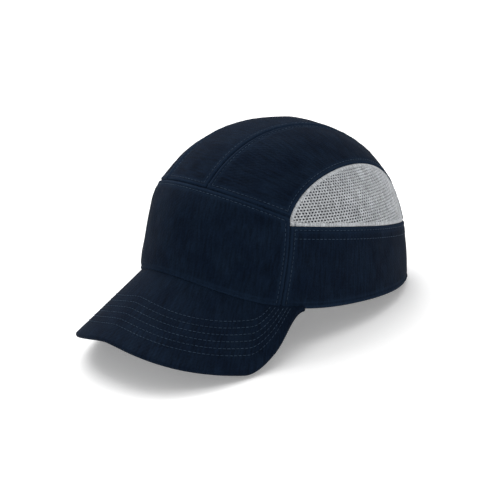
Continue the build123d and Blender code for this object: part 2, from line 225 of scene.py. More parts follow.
def make_lines():
    """Every seam of the wearer's left half, each as a list of points on the crown."""
    many = 160
    lines = {}
    low_z = 5.0
    for _ in range(20):
        low_z = float(rim_height(front_side_y(low_z)))
    heights = np.linspace(low_z, CORNER_Z, many)
    lines["side_seam"] = side_points(front_side_y(heights), heights)
    side_low = angle_of(lines["side_seam"][0])
    side_high = angle_of(lines["side_seam"][-1])
    lines["rim_front"] = at_angle(np.linspace(side_low, -pi / 2, many), rim_height)
    lines["front_top"] = at_angle(np.linspace(side_high, -pi / 2, many), front_top_z)
    start = side_points(front_side_y(BAND_FRONT), BAND_FRONT)
    opening_y = HALF_LENGTH * sqrt(1 - (OPENING_HALF / HALF_WIDTH) ** 2)
    opening_angle = atan2(opening_y / HALF_LENGTH, OPENING_HALF / HALF_WIDTH)
    lines["rim_side"] = at_angle(np.linspace(side_low, opening_angle, many), rim_height)
    swing = np.linspace(0, pi / 2, many)
    arch_x, arch_z = OPENING_HALF * np.cos(swing), OPENING_HEIGHT * np.sin(swing)
    depth = np.sqrt(np.clip(level(arch_z) ** 2 - (arch_x / HALF_WIDTH) ** 2, 0, None))
    lines["arch"] = np.stack([arch_x, HALF_LENGTH * depth + LEAN * arch_z, arch_z], -1)
    lines["band_top"] = at_angle(np.linspace(angle_of(start), pi / 2, 3 * many), band_top_z)
    # the half-oval vent, from its front corner over to the band behind
    turn = np.linspace(pi, -0.35, 4 * many)
    y = VENT_Y + VENT_LENGTH / 2 * np.cos(turn)
    z = BAND_MIDDLE + VENT_RISE * np.sin(turn)
    keep = (z > band_top_z(y)) & (y > front_side_y(z))
    lines["vent_arc"] = side_points(y[keep], z[keep])
    front_z, rear_y = lines["vent_arc"][0, 2], lines["vent_arc"][-1, 1]
    band = lines["band_top"]
    lines["vent_floor"] = band[band[:, 1] < rear_y]
    lines["band_rear"] = band[band[:, 1] >= rear_y]
    upper = lines["side_seam"][:, 2]
    lines["vent_front"] = lines["side_seam"][(upper >= BAND_FRONT) & (upper <= front_z)]
    lines["corner_front"] = lines["side_seam"][upper > front_z]
    lines["band_front"] = lines["side_seam"][upper < BAND_FRONT]
    # edge of the strip over the crown
    y = np.linspace(-HALF_LENGTH, HALF_LENGTH, 6 * many)
    edge = plan_points(strip_half(y), y)
    good = edge[:, 2] > band_top_z(edge[:, 1])
    good &= (edge[:, 1] > -60) | (edge[:, 2] > front_top_z(edge[:, 1]))
    lines["strip_edge"] = edge[good & (edge[:, 2] > 20)]
    return lines


def nearest_index(points, target):
    return int(np.argmin(np.linalg.norm(points - target, axis=1)))


def joined(*parts):
    return np.concatenate(parts)


# ------------------------------------------------------------------ sheets of cloth
def edge_shares(length, step=STEP):
    """Shares along a side, closer together near both ends where the cloth turns in."""
    near = np.array([0, 0.7, 1.5, 2.4, 3.4, 4.4])
    if length < 14:
        return np.linspace(0, 1, max(3, ceil(length / 1.2)))
    inner = np.linspace(5.6, length - 5.6, max(2, ceil((length - 11) / step)))
    return np.concatenate([near, inner, length - near[::-1]]) / length


def spread(bottom, top, left, right):
    """A grid of points between four border lines. Left and right run from bottom to top."""
    across = edge_shares(max(line_length(bottom), line_length(top)))
    up = edge_shares(max(line_length(left), line_length(right)))
    b, t = resample(bottom, across)[None], resample(top, across)[None]
    l, r = resample(left, up)[:, None], resample(right, up)[:, None]
    s, u = across[None, :, None], up[:, None, None]
    corners = (1 - s) * ((1 - u) * b[:, :1] + u * t[:, :1]) + s * ((1 - u) * b[:, -1:] + u * t[:, -1:])
    return (1 - u) * b + u * t + (1 - s) * l + s * r - corners


def lumps(points, size, seed):
    """Soft unevenness of cloth over a hard shell, the same for neighbouring panels."""
    out = np.empty(len(points))
    for i, p in enumerate(points):
        q = Vector((p[0] / size + seed, p[1] / size, p[2] / size))
        out[i] = noise.noise(q) + 0.4 * noise.noise(q * 2.3)
    return out


def border_distance(points, borders):
    tree = kdtree.KDTree(sum(len(b) for b in borders))
    n = 0
    for b in borders:
        for p in b:
            tree.insert(p, n)
            n += 1
    tree.balance()
    return np.array([tree.find(p)[2] for p in points])


def mesh_object(name, places, faces, uv_axes):
    """An object made of given faces (scene metres), with a flat UV map seen along one axis."""
    mesh = bpy.data.meshes.new(name)
    mesh.from_pydata(places.tolist(), [], faces)
    uv = mesh.uv_layers.new(name="UVMap")
    corner = np.empty(len(mesh.loops), int)
    mesh.loops.foreach_get("vertex_index", corner)
    uv.data.foreach_set("uv", places[corner][:, uv_axes].ravel())
    obj = bpy.data.objects.new(name, mesh)
    bpy.context.collection.objects.link(obj)
    return obj


def select_only(obj):
    bpy.ops.object.select_all(action="DESELECT")
    obj.select_set(True)
    bpy.context.view_layer.objects.active = obj


def apply_modifier(obj, kind, **settings):
    select_only(obj)
    modifier = obj.modifiers.new(kind.lower(), kind)
    for key, value in settings.items():
        setattr(modifier, key, value)
    bpy.ops.object.modifier_apply(modifier=modifier.name)


def grid_object(name, rows):
    """A grid primitive whose points are laid on the given rows (cap frame, mm)."""
    tall, wide = rows.shape[:2]
    bpy.ops.object.select_all(action="DESELECT")
    bpy.ops.mesh.primitive_grid_add(x_subdivisions=wide - 1, y_subdivisions=tall - 1, size=1)
    obj = bpy.context.active_object
    obj.name = obj.data.name = name
    places = to_scene(rows.reshape(-1, 3))
    obj.data.vertices.foreach_set("co", places.ravel())
    across = np.linalg.norm(np.diff(rows, axis=1), axis=2).mean(0)
    up = np.linalg.norm(np.diff(rows, axis=0), axis=2).mean(1)
    u, v = np.r_[0, np.cumsum(across)] / 1000, np.r_[0, np.cumsum(up)] / 1000
    corner = np.empty(len(obj.data.loops), int)
    obj.data.loops.foreach_get("vertex_index", corner)
    uv = np.stack([u[corner % wide], v[corner // wide]], -1)
    obj.data.uv_layers[0].data.foreach_set("uv", uv.ravel())
    obj.data.update()
    return obj


def face_outwards(obj, centre=(0, 0, 30)):
    """Turns the grid's faces so that they look away from the middle of the cap."""
    mesh = obj.data
    middle = Vector(to_scene(np.array(centre, float)))
    votes = sum((1 if (f.center - middle).dot(f.normal) > 0 else -1) for f in mesh.polygons)
    if votes < 0:
        mesh.flip_normals()


def smooth(obj):
    select_only(obj)
    bpy.ops.object.shade_smooth()


def thicken(obj, thickness):
    """Gives a sheet its thickness (mm) inwards, and smooth shading."""
    apply_modifier(obj, "SOLIDIFY", thickness=thickness / 1000, offset=-1)
    smooth(obj)


def join_objects(pieces, name):
    select_only(pieces[0])
    for piece in pieces:
        piece.select_set(True)
    bpy.ops.object.join()
    obj = bpy.context.active_object
    obj.name = obj.data.name = name
    return obj


def finish_piece(obj, material, body, *nodes, slot=None):
    obj.data.materials.clear()
    obj.data.materials.append(material)
    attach(obj, body)
    if nodes:
        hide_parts(*nodes)


SEAM_SINK, SEAM_WIDTH = 0.9, 0.9
TOPSTITCH = 3.6
STITCH_SINK, STITCH_WIDTH = 0.28, 0.8


def softness(points, away):
    """How far cloth stands off the crown: lumps, and a fuller fold above the front of the rim."""
    lumpy = np.clip(away / 14, 0.15, 1) * 0.9 * lumps(points, 27, 3.1) + 0.5 * lumps(points, 62, 9.7)
    front = np.clip((-20 - points[:, 1]) / 50, 0, 1)
    fold = 2.2 * front * hump(points[:, 2] - rim_height(points[:, 1]), 5, 16)
    brow = 1.5 * front * hump(points[:, 2] - CORNER_Z, 8, 14)
    return 0.3 + lumpy + fold + brow


def cloth_panel(name, bottom, top, left, right):
    """One sewn panel: laid over the crown, sunk at its seams and puffed between them."""
    rows = to_crown(spread(bottom, top, left, right))
    flat = rows.reshape(-1, 3)
    away = border_distance(flat, [bottom, top, left, right])
    sink = SEAM_SINK * hump(away, 0, SEAM_WIDTH) + STITCH_SINK * hump(away, TOPSTITCH, STITCH_WIDTH)
    pucker = 0.5 + 0.5 * np.clip(lumps(flat, 5, 21.0) * 2.5, -1, 1)
    rise = (0.2 + 0.3 * pucker) * hump(away, 1.9, 1.1) + 0.22 * pucker * hump(away, 6.5, 2.5)
    moved = flat + crown_normal(flat) * (rise - sink + softness(flat, away))[:, None]
    obj = grid_object(name, moved.reshape(rows.shape))
    worn = obj.data.attributes.new("seam", "FLOAT", "POINT")
    near_seam = hump(away, 1.2, 1.3) + 0.6 * hump(away - TOPSTITCH, 0.9, 1.0)
    worn.data.foreach_set("value", near_seam.astype(np.float32))
    face_outwards(obj)
    thicken(obj, CLOTH)
    finish_piece(obj, cotton, "cover", name, slot="cotton_twill")


# ------------------------------------------------------------------ materials
def new_material(name, color, roughness, sheen=0.0, specular=0.35):
    m = bpy.data.materials.new(name)
    m.use_nodes = True
    shader = m.node_tree.nodes["Principled BSDF"]
    shader.inputs["Base Color"].default_value = (*color, 1)
    shader.inputs["Roughness"].default_value = roughness
    shader.inputs["Sheen Weight"].default_value = sheen
    shader.inputs["Sheen Roughness"].default_value = 0.45
    shader.inputs["Specular IOR Level"].default_value = specular
    return m, m.node_tree, shader


def add_node(tree, kind, **settings):
    node = tree.nodes.new(kind)
    for key, value in settings.items():
        if key.startswith("in_"):
            node.inputs[int(key[3:])].default_value = value
        else:
            setattr(node, key, value)
    return node


def new_group(name, inputs, outputs):
    group = bpy.data.node_groups.new(name, "ShaderNodeTree")
    for label, kind, value in inputs:
        socket = group.interface.new_socket(name=label, in_out="INPUT", socket_type=kind)
        if value is not None:
            socket.default_value = value
    for label, kind in outputs:
        group.interface.new_socket(name=label, in_out="OUTPUT", socket_type=kind)
    start = group.nodes.new("NodeGroupInput")
    end = group.nodes.new("NodeGroupOutput")
    return group, start, end


def math_node(tree, operation, a, b=None):
    node = tree.nodes.new("ShaderNodeMath")
    node.operation = operation
    for slot, value in enumerate((a, b)):
        if value is None:
            continue
        if isinstance(value, (int, float)):
            node.inputs[slot].default_value = value
        else:
            tree.links.new(value, node.inputs[slot])
    return node.outputs[0]


def weave_group():
    """Crossing yarns that go over and under, with a diagonal rib: height and yarn shade."""
    group, start, end = new_group(
        "weave",
        [("Vector", "NodeSocketVector", None), ("Threads", "NodeSocketFloat", 1400.0),
         ("Twill", "NodeSocketFloat", 0.6)],
        [("Height", "NodeSocketFloat"), ("Shade", "NodeSocketFloat")])
    link = group.links.new
    split = add_node(group, "ShaderNodeSeparateXYZ")
    link(start.outputs["Vector"], split.inputs[0])
    u = math_node(group, "MULTIPLY", split.outputs[0], start.outputs["Threads"])
    v = math_node(group, "MULTIPLY", split.outputs[1], start.outputs["Threads"])
    warp = math_node(group, "ABSOLUTE", math_node(group, "SINE", math_node(group, "MULTIPLY", u, pi)))
    weft = math_node(group, "ABSOLUTE", math_node(group, "SINE", math_node(group, "MULTIPLY", v, pi)))
    across = math_node(group, "ADD", u, v)
    rib = math_node(group, "SINE", math_node(group, "MULTIPLY", across, pi * 0.5))
    rib = math_node(group, "MULTIPLY", rib, start.outputs["Twill"])
    yarns = math_node(group, "ADD", warp, math_node(group, "MULTIPLY", weft, 0.6))
    height = math_node(group, "ADD", yarns, rib)
    stretch = add_node(group, "ShaderNodeMapping")
    stretch.inputs["Scale"].default_value = (1.0, 0.13, 1.0)
    link(start.outputs["Vector"], stretch.inputs[0])
    streaks = add_node(group, "ShaderNodeTexNoise", in_2=700.0, in_3=3.0)
    link(stretch.outputs[0], streaks.inputs[0])
    flecks = add_node(group, "ShaderNodeTexNoise", in_2=900.0, in_3=3.0)
    link(start.outputs["Vector"], flecks.inputs[0])
    both = math_node(group, "ADD", math_node(group, "MULTIPLY", streaks.outputs[0], 0.6),
                     math_node(group, "MULTIPLY", flecks.outputs[0], 0.4))
    link(height, end.inputs["Height"])
    link(both, end.inputs["Shade"])
    return group


def fading_group():
    """Slow changes of shade, as brushed and worn cloth has, from the place on the object."""
    group, start, end = new_group(
        "fading",
        [("Color", "NodeSocketColor", (0.5, 0.5, 0.5, 1)), ("Worn", "NodeSocketColor", (0.6, 0.6, 0.6, 1)),
         ("Scale", "NodeSocketFloat", 60.0), ("Amount", "NodeSocketFloat", 0.5)],
        [("Color", "NodeSocketColor"), ("Mask", "NodeSocketFloat")])
    link = group.links.new
    place = add_node(group, "ShaderNodeTexCoord")
    broad = add_node(group, "ShaderNodeTexNoise", in_3=5.0)
    link(place.outputs["Object"], broad.inputs[0])
    link(start.outputs["Scale"], broad.inputs[2])
    ramp = add_node(group, "ShaderNodeMapRange", in_1=0.38, in_2=0.66)
    link(broad.outputs[0], ramp.inputs[0])
    amount = math_node(group, "MULTIPLY", ramp.outputs[0], start.outputs["Amount"])
    mix = add_node(group, "ShaderNodeMix", data_type="RGBA")
    link(amount, mix.inputs[0])
    link(start.outputs["Color"], mix.inputs[6])
    link(start.outputs["Worn"], mix.inputs[7])
    link(mix.outputs[2], end.inputs["Color"])
    link(amount, end.inputs["Mask"])
    return group


weave = weave_group()
fading = fading_group()


def add_fading(tree, color, worn, scale, amount):
    fade = add_node(tree, "ShaderNodeGroup", node_tree=fading)
    for label, value in (("Color", (*color, 1)), ("Worn", (*worn, 1)), ("Scale", scale), ("Amount", amount)):
        fade.inputs[label].default_value = value
    return fade


def add_bump(tree, shader, height, strength, distance):
    bump_node = add_node(tree, "ShaderNodeBump")
    bump_node.inputs["Strength"].default_value = strength
    bump_node.inputs["Distance"].default_value = distance
    tree.links.new(height, bump_node.inputs["Height"])
    tree.links.new(bump_node.outputs[0], shader.inputs["Normal"])


def woven(name, color, worn, threads=1300.0, twill=0.6, bump=0.35, roughness=0.92, sheen=0.02,
          scale=60.0, amount=0.6, depth=0.00022, specular=0.06):
    """Woven cloth: yarns in the bump, flecks and slow fading in the colour."""
    m, tree, shader = new_material(name, color, roughness, sheen, specular)
    shader.inputs["Sheen Tint"].default_value = (*[min(1, c * 6 + 0.1) for c in color], 1)
    link = tree.links.new
    uv = add_node(tree, "ShaderNodeUVMap")
    yarn = add_node(tree, "ShaderNodeGroup", node_tree=weave)
    yarn.inputs["Threads"].default_value = threads
    yarn.inputs["Twill"].default_value = twill
    link(uv.outputs[0], yarn.inputs["Vector"])
    fade = add_fading(tree, color, worn, scale, amount)
    fleck = add_node(tree, "ShaderNodeMix", data_type="RGBA", blend_type="MULTIPLY")
    fleck.inputs[0].default_value = 0.8
    range_node = add_node(tree, "ShaderNodeMapRange", in_1=0.36, in_2=0.64, in_3=0.5, in_4=1.5)
    link(yarn.outputs["Shade"], range_node.inputs[0])
    link(fade.outputs["Color"], fleck.inputs[6])
    link(range_node.outputs[0], fleck.inputs[7])
    seam = add_node(tree, "ShaderNodeAttribute", attribute_name="seam")
    rubbed = add_node(tree, "ShaderNodeMix", data_type="RGBA")
    rubbed.inputs[7].default_value = (*[c * 1.9 for c in worn], 1)
    link(math_node(tree, "MULTIPLY", seam.outputs["Fac"], 0.55), rubbed.inputs[0])
    link(fleck.outputs[2], rubbed.inputs[6])
    link(rubbed.outputs[2], shader.inputs["Base Color"])
    add_bump(tree, shader, yarn.outputs["Height"], bump, depth)
    return m


def moulded(name, color, roughness, grain=900.0, bump=0.15, coat=0.0):
    """Moulded plastic or foam: fine grain in the bump, faint scuffs in the roughness."""
    m, tree, shader = new_material(name, color, roughness)
    shader.inputs["Coat Weight"].default_value = coat
    link = tree.links.new
    place = add_node(tree, "ShaderNodeTexCoord")
    fine = add_node(tree, "ShaderNodeTexNoise", in_2=grain, in_3=4.0)
    link(place.outputs["Object"], fine.inputs[0])
    add_bump(tree, shader, fine.outputs[0], bump, 0.0002)
    fade = add_fading(tree, color, [c * 1.5 + 0.01 for c in color], 35.0, 0.5)
    link(fade.outputs["Color"], shader.inputs["Base Color"])
    rough = add_node(tree, "ShaderNodeMapRange", in_3=roughness - 0.08, in_4=roughness + 0.14)
    link(fade.outputs["Mask"], rough.inputs[0])
    link(rough.outputs[0], shader.inputs["Roughness"])
    return m


NAVY = (0.0030, 0.0075, 0.0180)
NAVY_WORN = (0.0060, 0.0135, 0.0280)
cotton = woven("cotton_twill", NAVY, NAVY_WORN)
tape_cloth = woven("binding_tape", (0.006, 0.014, 0.033), (0.010, 0.02, 0.045), threads=2200.0, twill=0.1)
webbing = woven("strap_webbing", (0.006, 0.012, 0.028), (0.012, 0.02, 0.04),
                threads=900.0, twill=0.0, bump=0.6)
air_mesh = woven("air_mesh", (0.50, 0.52, 0.545), (0.58, 0.60, 0.62), threads=1800.0, twill=0.0,
                 bump=0.5, roughness=0.7, sheen=0.1)
thread = woven("thread", (0.026, 0.046, 0.078), (0.045, 0.07, 0.105),
               threads=5000.0, twill=1.5, roughness=0.6)
terry = woven("sweatband_terry", (0.010, 0.018, 0.040), (0.02, 0.03, 0.06),
              threads=900.0, bump=0.8, sheen=0.5)
label_cloth = woven("label_satin", (0.75, 0.75, 0.72), (0.8, 0.8, 0.78), threads=3000.0, roughness=0.4)
pile = woven("loop_pile", (0.012, 0.018, 0.035), (0.02, 0.03, 0.05), threads=1600.0, bump=1.0, sheen=0.7)
hooks = moulded("hook_tape", (0.02, 0.025, 0.04), 0.5, grain=2600.0, bump=1.0)
shell_plastic = moulded("shell_plastic", (0.012, 0.013, 0.016), 0.32, coat=0.15)
foam = moulded("liner_foam", (0.022, 0.023, 0.026), 0.85, grain=2200.0, bump=0.8)
board_plastic = moulded("peak_board", (0.6, 0.6, 0.57), 0.5)

# ------------------------------------------------------------------ cover panels
lines = make_lines()
right_lines = {name: mirrored(line) for name, line in lines.items()}
SIDES = (("left", lines), ("right", right_lines))
FLIP = slice(None, None, -1)


def build_panels():
    left, right = lines, right_lines
    front_low = joined(left["rim_front"][:-1], right["rim_front"][FLIP])
    front_high = joined(left["front_top"][:-1], right["front_top"][FLIP])
    cloth_panel("front_panel", front_low, front_high, left["side_seam"], right["side_seam"])
    corner = nearest_index(left["front_top"], left["strip_edge"][0])
    for name, side in SIDES:
        band_low = joined(side["rim_side"][:-1], side["arch"])
        band_high = side["band_top"]
        end = np.linspace(side["arch"][-1], side["band_top"][-1], 12)
        cloth_panel("rear_band_" + name, band_low, band_high, side["band_front"], to_crown(end))
        outer = joined(side["corner_front"][FLIP], side["vent_arc"][1:])
        inner = side["strip_edge"]
        front = side["front_top"][: corner + 1]
        rear_to = nearest_index(side["band_rear"], side["strip_edge"][-1])
        rear = side["band_rear"][: rear_to + 1]
        cloth_panel("crown_panel_" + name, outer, inner, front, rear)
    front = joined(right["front_top"][corner:][:-1], left["front_top"][corner:][FLIP])
    rear_to = nearest_index(left["band_top"], left["strip_edge"][-1])
    rear = joined(right["band_top"][rear_to:][:-1], left["band_top"][rear_to:][FLIP])
    cloth_panel("crown_strip", right["strip_edge"], left["strip_edge"], front, rear)


build_panels()


# ------------------------------------------------------------------ stitching
def stitch_shape():
    """One thread stitch, lying along X: a slim bead, pulled down at both ends."""
    bpy.ops.object.select_all(action="DESELECT")
    bpy.ops.mesh.primitive_uv_sphere_add(segments=6, ring_count=5, radius=1, rotation=(0, pi / 2, 0))
    obj = bpy.context.active_object
    bpy.ops.object.transform_apply(rotation=True)
    verts = np.array([v.co[:] for v in obj.data.vertices])
    faces = [list(f.vertices) for f in obj.data.polygons]
    bpy.data.objects.remove(obj)
    verts[:, 0] = np.sign(verts[:, 0]) * np.abs(verts[:, 0]) ** 0.7
    verts[:, 2] -= 0.5 * verts[:, 0] ** 2
    return verts, faces


bead, bead_faces = stitch_shape()
STITCH_LENGTH, STITCH_GAP, THREAD_RADIUS = 2.6, 0.7, 0.27


def stitch_mesh(name, rows, body="cover", lift=0.12):
    """Stitches along rows, each a pair of lists: points and surface normals (cap frame, mm)."""
    places, faces = [], []
    for points, normals in rows:
        total = line_length(points)
        count = int(total / (STITCH_LENGTH + STITCH_GAP))
        if count < 2:
            continue
        at = (np.arange(count) + 0.5) / count
        middle = resample(points, at)
        before, after = resample(points, np.clip(at - 0.3 / count, 0, 1)), resample(points, at + 0.3 / count)
        along = normalized(after - before)
        up = resample(points, at, normals)
        up = normalized(up - along * (up * along).sum(1, keepdims=True))
        side = np.cross(up, along)
        size = np.array([STITCH_LENGTH / 2, THREAD_RADIUS, THREAD_RADIUS * 1.1])
        shape = bead * size
        pts = (middle[:, None] + shape[None, :, :1] * along[:, None] + shape[None, :, 1:2] * side[:, None]
               + (shape[None, :, 2:] + lift) * up[:, None])
        start = sum(len(p) for p in places)
        for i in range(count):
            base = start + i * len(bead)
            faces += [[base + j for j in f] for f in bead_faces]
        places.append(pts.reshape(-1, 3))
    obj = mesh_object(name, to_scene(np.concatenate(places)), faces, slice(0, 2))
    smooth(obj)
    finish_piece(obj, thread, body, slot="cotton_twill")


def beside(points, offset):
    """A line on the crown, kept a set distance to one side of another."""
    points = resample(points, np.linspace(0, 1, max(8, int(line_length(points) / 2))))
    along = normalized(np.gradient(points, axis=0))
    normal = crown_normal(points)
    moved = to_crown(points + np.cross(normal, along) * offset)
    normal = crown_normal(moved)
    soft = softness(moved, np.full(len(moved), abs(offset)))
    return moved + normal * (soft - 0.1)[:, None], normal


def trimmed(points, start=3.0, end=3.0):
    total = line_length(points)
    return resample(points, np.linspace(start / total, 1 - end / total, max(8, int(total / 2))))


def build_stitching():
    top = joined(lines["front_top"][:-1], right_lines["front_top"][FLIP])
    stitch_mesh("front_seam_stitches", [beside(trimmed(top), o) for o in (TOPSTITCH, -TOPSTITCH)])
    for name, side in SIDES:
        rows = [beside(trimmed(side["strip_edge"]), o) for o in (TOPSTITCH, -TOPSTITCH)]
        stitch_mesh("strip_stitches_" + name, rows)
        rows = [beside(trimmed(side["side_seam"], 2, 4), o) for o in (TOPSTITCH, -TOPSTITCH)]
        stitch_mesh("side_seam_stitches_" + name, rows)
        out = 1 if name == "left" else -1
        rows = [beside(trimmed(side["vent_arc"]), TOPSTITCH * out)]
        rows.append(beside(trimmed(side["band_top"]), -TOPSTITCH * out * 0.8))
        rows.append(beside(trimmed(side["band_top"]), -TOPSTITCH * out * 2.6))
        stitch_mesh("vent_stitches_" + name, rows)
        rows = [beside(trimmed(side["arch"], 1, 1), -TOPSTITCH * out)]
        stitch_mesh("opening_stitches_" + name, rows)


build_stitching()


# ------------------------------------------------------------------ peak
def peak_root(turn):
    end = pi / 2 - asin(-PEAK_END_Y / HALF_LENGTH)
    angle = -pi / 2 + turn / (pi / 2) * end
    x, y = HALF_WIDTH * np.cos(angle), HALF_LENGTH * np.sin(angle)
    return np.stack([x, y, rim_height(y)], -1)


def ease(share):
    share = np.clip(share, 0, 1)
    return share * share * (3 - 2 * share)


def peak_edge(turn):
    depth = HALF_LENGTH + PEAK_OVERHANG + PEAK_END_Y
    swing = np.abs(np.sin(turn)) ** (2 / PEAK_PLAN_POWER)
    forward = np.clip(np.cos(turn), 0, None) ** (2 / PEAK_PLAN_POWER)
    end_x = HALF_WIDTH * sqrt(1 - (PEAK_END_Y / HALF_LENGTH) ** 2) + PEAK_END_WIDTH
    x = (end_x + (PEAK_HALF - end_x) * ease(forward / 0.3)) * swing * np.sign(turn)
    y = PEAK_END_Y - depth * forward
    falling = RIM_ARCH - PEAK_DROP - PEAK_CORNER_DROP * (np.abs(x) / PEAK_HALF) ** PEAK_CORNER_POWER
    weight = ease(forward / PEAK_BLEND)
    return np.stack([x, y, rim_height(PEAK_END_Y) * (1 - weight) + falling * weight], -1)


class PeakShape:
    """The peak's middle surface: evenly spaced lines from the rim to the edge."""

    def __init__(self, count=210):
        fine = np.linspace(-pi / 2, pi / 2, 4001)
        run = run_along(peak_edge(fine))
        turn = np.interp(np.linspace(0, run[-1], count), run, fine)
        blend = 0.25 * np.linspace(-pi / 2, pi / 2, count) + 0.75 * turn
        self.root, self.edge = peak_root(blend), peak_edge(turn)
        line = self.edge - self.root
        self.length = np.linalg.norm(line, axis=1)
        along = np.gradient(self.edge, axis=0) + np.gradient(self.root, axis=0)
        normal = np.cross(line, along)
        normal *= np.sign(normal[:, 2:])
        self.normal = normalized(normal)
        self.line = line / self.length[:, None]

    def at(self, inset, rise):
        """Points at a distance in from the edge, raised from the middle surface."""
        out = self.length[:, None] - inset
        return self.root + self.line * out + self.normal * rise


PEAK_STATIONS = 46
PEAK_ROWS = (15.0, 20.6, 26.2, 31.8, 37.4, 43.0)
shape = PeakShape()


def quilting(inset):
    """How far the peak's cloth dips under its rows of stitching."""
    return 0.22 * sum(hump(inset, row, 0.9) for row in PEAK_ROWS)


def peak_unevenness(points):
    """Soft lumps of the peak's cloth, as an upward move of each point."""
    return np.array([0, 0, 1]) * (0.22 * lumps(points, 30, 5.5))[:, None]


def peak_sheet(name, offsets):
    """A cloth over the peak from (share, inset, rise) stations, out from the rim."""
    rows = []
    for share, inset, rise in offsets:
        distance = shape.length[:, None] * (1 - share) + inset * share
        distance = np.minimum(distance, shape.length[:, None] - 0.2)
        dip = quilting(distance) * np.sign(rise)
        rows.append(shape.at(distance, rise - dip))
    rows = np.stack(rows)
    flat = rows.reshape(-1, 3)
    return grid_object(name, (flat + peak_unevenness(flat)).reshape(rows.shape))


def peak_cloth(name, inset, rise, last_turn, turn_steps, thickness, away_from):
    """One cloth of the peak: out from the rim, then rolled round the edge."""
    flat = [(share, inset, rise) for share in np.linspace(0.0, 1, PEAK_STATIONS)]
    roll = [(1, inset * (1 - sin(a)), rise * cos(a)) for a in np.linspace(0.2, last_turn, turn_steps)]
    cloth = peak_sheet(name, flat + roll)
    face_outwards(cloth, away_from)
    thicken(cloth, thickness)
    finish_piece(cloth, cotton, "cover", name, slot="cotton_twill")


def build_peak():
    r = PEAK_HALF_THICKNESS
    peak_cloth("peak_top_cloth", 2.2, r, pi * 0.52, 9, 1.0, (0, -90, -300))
    peak_cloth("peak_bottom_cloth", 2.4, -r + 0.05, pi * 0.42, 7, 0.9, (0, -90, 300))
    rows = []
    for inset in PEAK_ROWS:
        good = shape.length > inset + 1.5
        for sign in (1, -1):
            line = shape.at(inset, sign * (r + 0.02))[good]
            normal = (shape.normal * sign)[good]
            rows.append((line + peak_unevenness(line), normal))
    stitch_mesh("peak_stitches", rows, lift=-0.02)


build_peak()


# ------------------------------------------------------------------ mesh vents
HOLE_PITCH = 2.5
VENT_BORDER = 2.2
NET_COLUMNS = range(-40, 60)
NET_LOW, NET_HIGH = 30, 108


def vent_inside(y, z, margin):
    oval = ((y - VENT_Y) / (VENT_LENGTH / 2 - margin)) ** 2 + ((z - BAND_MIDDLE) / (VENT_RISE - margin)) ** 2
    return (oval < 1) & (z > band_top_z(y) + margin) & (y > front_side_y(z) + margin)


def vent_net(side):
    """Knitted air mesh with a real hole in every cell, as rows of six-sided cells."""
    radius = HALF_WIDTH + 6
    corners = 12
    turn = np.arange(corners) / corners * 2 * pi
    hexagon = np.array([[cos(pi / 6 + i * pi / 3), sin(pi / 6 + i * pi / 3)] for i in range(6)])
    edge = np.array([hexagon[i // 2] if i % 2 == 0 else (hexagon[i // 2] + hexagon[(i // 2 + 1) % 6]) / 2
                     for i in range(corners)]) * HOLE_PITCH / sqrt(3)
    hole = np.stack([np.cos(turn + pi / 6) * 0.34, np.sin(turn + pi / 6) * 0.27], -1) * HOLE_PITCH
    verts, faces = [], []
    z_line = np.linspace(NET_LOW, NET_HIGH, 400)
    run = run_along(np.stack([HALF_WIDTH * level(z_line), z_line], -1))
    row_step = HOLE_PITCH * sqrt(3) / 2
    for row in range(int(run[-1] / row_step)):
        for col in NET_COLUMNS:
            cu = (col + 0.5 * (row % 2)) * HOLE_PITCH
            cw = row * row_step
            z = float(np.interp(cw, run, z_line))
            y = HALF_LENGTH * level(z) * sin(cu / radius) + LEAN * z
            if not vent_inside(y, z, VENT_BORDER - 0.9):
                continue
            base = len(verts)
            for ring in (edge, hole):
                for a, b in ring:
                    zz = float(np.interp(cw + b, run, z_line))
                    verts.append(((cu + a) / radius, zz))
            for i in range(corners):
                j = (i + 1) % corners
                faces.append([base + i, base + j, base + corners + j, base + corners + i])
    flat = np.array(verts)
    r = level(flat[:, 1])
    points = np.stack([HALF_WIDTH * r * np.cos(flat[:, 0]),
                       HALF_LENGTH * r * np.sin(flat[:, 0]) + LEAN * flat[:, 1], flat[:, 1]], -1)
    points = points + crown_normal(points) * -0.35
    if side == "right":
        points = mirrored(points)
    return points, faces


def strip_grid(line, offsets, lift):
    """A narrow strip of cloth beside a line on the crown."""
    line = resample(line, np.linspace(0, 1, max(10, int(line_length(line) / 1.6))))
    along = normalized(np.gradient(line, axis=0))
    across = np.cross(crown_normal(line), along)
    rows = []
    for offset, rise in zip(offsets, lift):
        p = to_crown(line + across * offset)
        rows.append(p + crown_normal(p) * rise)
    return np.stack(rows)


def vent_border(name, lines_here, out):
    """The denser hem of the mesh along the arc and along the band."""
    offsets = np.array([-0.6, 0.4, 1.0, 1.7, 2.3, 2.7]) * out
    lift = (-0.9, -0.3, -0.05, 0.0, -0.15, -0.5)
    pieces = [grid_object(name + "_arc", strip_grid(lines_here["vent_arc"], -offsets, lift))]
    floor = joined(lines_here["vent_floor"], lines_here["vent_arc"][-1:])
    pieces.append(grid_object(name + "_floor", strip_grid(floor, offsets, lift)))
    pieces.append(grid_object(name + "_front", strip_grid(lines_here["vent_front"], -offsets, lift)))
    for p in pieces:
        face_outwards(p)
    return join_objects(pieces, name)


def build_vents():
    for side, here in SIDES:
        points, faces = vent_net(side)
        name = "vent_mesh_" + side
        net = mesh_object(name, to_scene(points), faces, slice(1, 3))
        select_only(net)
        bpy.ops.object.mode_set(mode="EDIT")
        bpy.ops.mesh.select_all(action="SELECT")
        bpy.ops.mesh.remove_doubles(threshold=0.00012)
        bpy.ops.object.mode_set(mode="OBJECT")
        face_outwards(net)
        thicken(net, 0.6)
        finish_piece(net, air_mesh, "cover", name, slot="air_mesh")
        hem = vent_border("vent_hem_" + side, here, 1 if side == "left" else -1)
        thicken(hem, 0.7)
        finish_piece(hem, air_mesh, "cover", slot="air_mesh")


